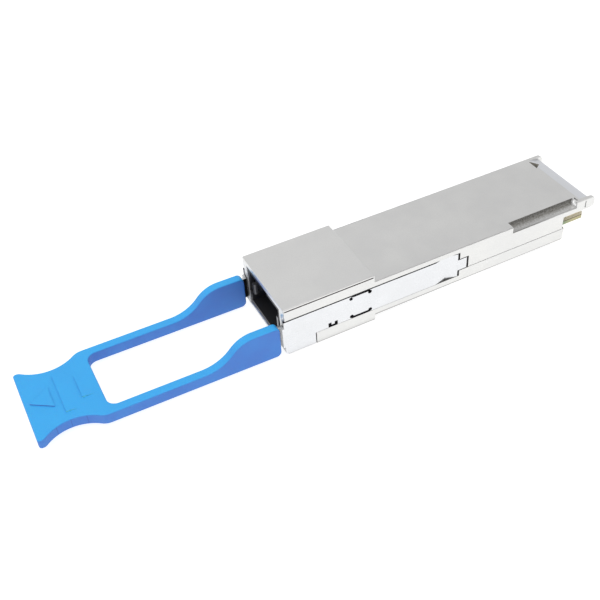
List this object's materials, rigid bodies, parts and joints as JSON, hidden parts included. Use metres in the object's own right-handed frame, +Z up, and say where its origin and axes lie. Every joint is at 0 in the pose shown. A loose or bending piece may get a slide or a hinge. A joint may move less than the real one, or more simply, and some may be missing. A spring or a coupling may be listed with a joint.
{
  "type": "optical transceiver module",
  "caption": "Slim metal plug-in optical transceiver with a multi-fibre port in its raised nose, a sliding side-arm latch, a blue pull tab and a card edge.",
  "frame": {"origin": "middle of the line where the nose meets the in-cage body, on the body's underside, which is the datum of the slide into the cage", "axes": "+Y towards the card edge, the way the module goes into its cage; +Z up, towards the heat-sink face; +X to the module's right seen from its port"},
  "size_m": [0.0184, 0.1205, 0.0116],
  "materials": {
    "housing_metal": "nickel-plated zinc die casting, satin, fine grain",
    "plate_metal": "satin nickel-plated sheet",
    "slider_steel": "bright stainless sheet, smooth",
    "tab_plastic": "blue moulded elastomer, fine matt",
    "spring_steel": "drawn spring wire",
    "port_plastic": "black moulded polymer",
    "hook_plastic": "dark moulded polymer, slightly glossy",
    "gasket_rubber": "conductive elastomer",
    "ferrule_plastic": "filled moulding resin, polished end",
    "pin_steel": "ground stainless",
    "ribbon_plastic": "clear coated fibre ribbon",
    "lens_plastic": "amber optical moulding",
    "carrier_ceramic": "aluminium nitride carrier",
    "chip_bare": "bare semiconductor die",
    "chip_package": "black moulded package",
    "capacitor_ceramic": "tan ceramic body",
    "thermal_pad": "soft gap filler",
    "board_laminate": "green solder mask over laminate",
    "contact_gold": "hard gold plating",
    "screw_steel": "nickel-plated steel",
    "label_film": "blank white film"
  },
  "bodies": {
    "module": {"top_cover": "housing_metal", "bottom_housing": "housing_metal", "nose_plate": "plate_metal", "return_spring_right": "spring_steel", "return_spring_left": "spring_steel", "mpo_receptacle": "port_plastic", "emi_gasket": "gasket_rubber", "mt_ferrule": "ferrule_plastic", "guide_pins": "pin_steel", "ferrule_clip": "pin_steel", "fibre_ribbon": "ribbon_plastic", "lens_block": "lens_plastic", "optical_carrier": "carrier_ceramic", "laser_array": "chip_bare", "photodiode_array": "chip_bare", "laser_driver": "chip_bare", "receiver_amplifier": "chip_bare", "signal_chip": "chip_package", "microcontroller": "chip_package", "capacitors": "capacitor_ceramic", "power_inductors": "chip_package", "driver_thermal_pad": "thermal_pad", "signal_thermal_pad": "thermal_pad", "circuit_board": "board_laminate", "contact_pads_top": "contact_gold", "contact_pads_bottom": "contact_gold", "housing_screws": "screw_steel", "blank_label": "label_film"},
    "latch": {"latch_slider": "slider_steel", "pull_tab": "tab_plastic"},
    "hook_right": {"mpo_hook_right": "hook_plastic"},
    "hook_left": {"mpo_hook_left": "hook_plastic"}
  },
  "joints": [
    {"name": "latch_slide", "type": "slide", "parent": "module", "child": "latch", "axis": [0, -1, 0], "range_m": [0, 0.0025], "stiffness_N_per_m": 600, "springref_m": -0.002, "deforming": ["return_spring_right", "return_spring_left"]},
    {"name": "hook_right_flex", "type": "hinge", "parent": "module", "child": "hook_right", "pos_m": [0.00565, -0.0081, 0.0044], "axis": [0, 0, 1], "range_deg": [0, 4], "stiffness_Nm_per_rad": 0.01},
    {"name": "hook_left_flex", "type": "hinge", "parent": "module", "child": "hook_left", "pos_m": [-0.00565, -0.0081, 0.0044], "axis": [0, 0, -1], "range_deg": [0, 4], "stiffness_Nm_per_rad": 0.01}
  ]
}
